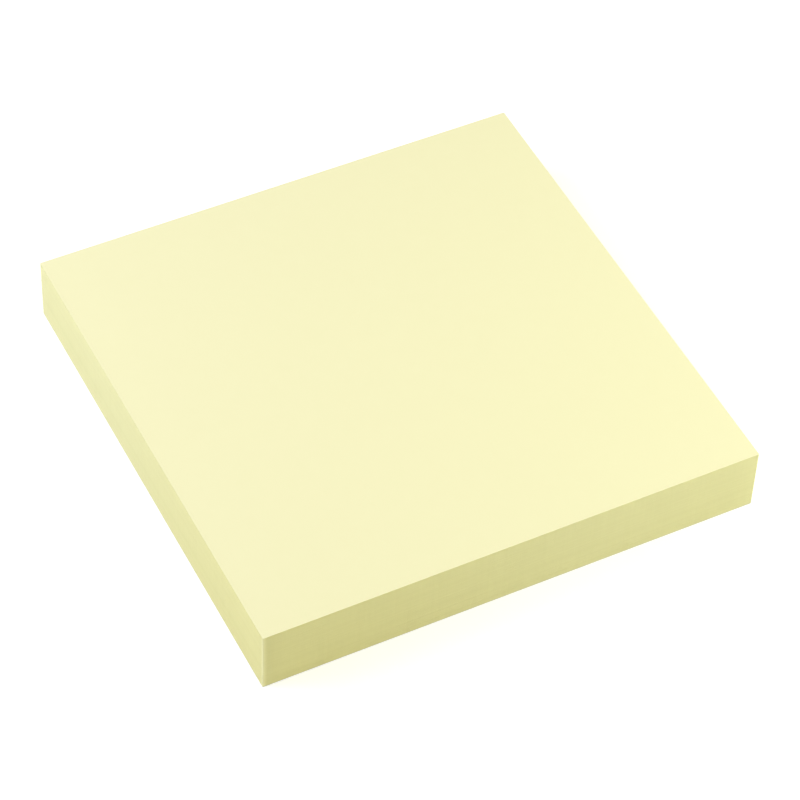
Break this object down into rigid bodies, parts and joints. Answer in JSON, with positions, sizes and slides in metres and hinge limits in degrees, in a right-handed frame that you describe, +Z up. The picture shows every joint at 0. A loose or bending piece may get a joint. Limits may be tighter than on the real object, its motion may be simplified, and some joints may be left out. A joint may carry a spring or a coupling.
{
  "type": "sticky note pad",
  "caption": "Square pad of blank pale-yellow sticky notes, gummed together along the back edge, on a thin backing sheet, with all its edges cut flush.",
  "frame": {"origin": "middle of the underside, where the pad rests", "axes": "+Z up through the stack of notes, +Y towards the gummed edge, -Y towards the free edge that is lifted to peel a note, X along the gummed edge"},
  "size_m": [0.076, 0.076, 0.0105],
  "materials": {
    "note_paper": "uncoated pale-yellow writing paper, matt",
    "gum": "low-tack acrylic gum, dried to a thin dull film",
    "release_paper": "off-white release paper, smooth"
  },
  "bodies": {
    "root": {"note_sheets": "note_paper", "gum_strip": "gum", "backing_sheet": "release_paper"}
  },
  "joints": []
}
